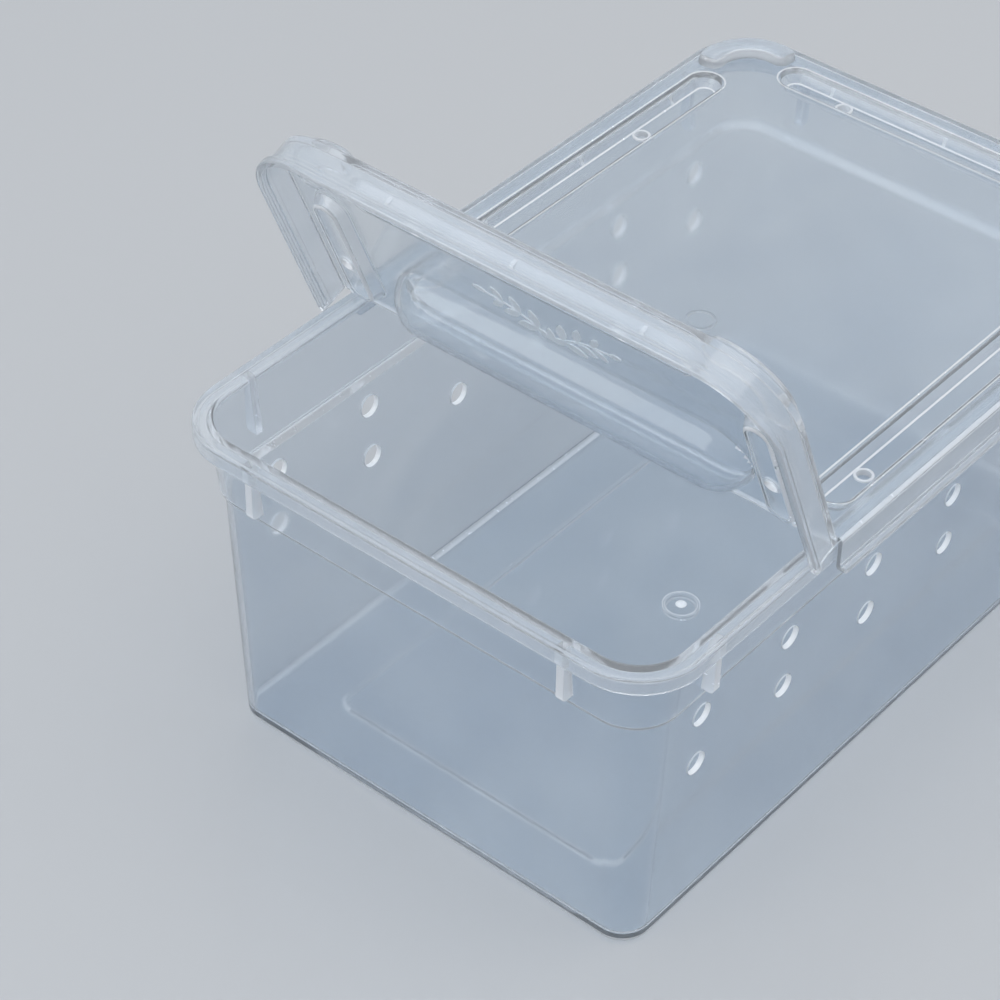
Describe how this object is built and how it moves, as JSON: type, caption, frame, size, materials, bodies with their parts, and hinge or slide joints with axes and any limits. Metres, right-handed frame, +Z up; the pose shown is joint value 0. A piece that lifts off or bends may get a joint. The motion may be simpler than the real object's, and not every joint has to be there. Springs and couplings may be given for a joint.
{
  "type": "pet keeper box",
  "caption": "Clear drafted box for small pets with vented long walls and a lift-off lid whose front part folds up on a moulded hinge.",
  "frame": {"origin": "centre of the flat bottom, on the table", "axes": "+Z up, +X towards the fixed part of the lid, the flap is at -X, middle plane Y = 0"},
  "size_m": [0.1883, 0.1244, 0.1321],
  "materials": {
    "clear_tub": "clear moulded polypropylene, faintly milky and bluish",
    "clear_lid": "clear moulded polypropylene, faintly milky and bluish"
  },
  "bodies": {
    "tub": {"tub": "clear_tub"},
    "lid": {"lid_fixed": "clear_lid", "fold_web": "clear_lid"},
    "flap": {"lid_flap": "clear_lid"}
  },
  "joints": [
    {"name": "lid_lift", "type": "slide", "parent": "tub", "child": "lid", "axis": [0, 0, 1], "range_m": [0, 0.12]},
    {"name": "flap_hinge", "type": "hinge", "parent": "lid", "child": "flap", "pos_m": [-0.0379, 0, 0.08045], "axis": [0, 1, 0], "range_deg": [-67.5, 100]}
  ]
}
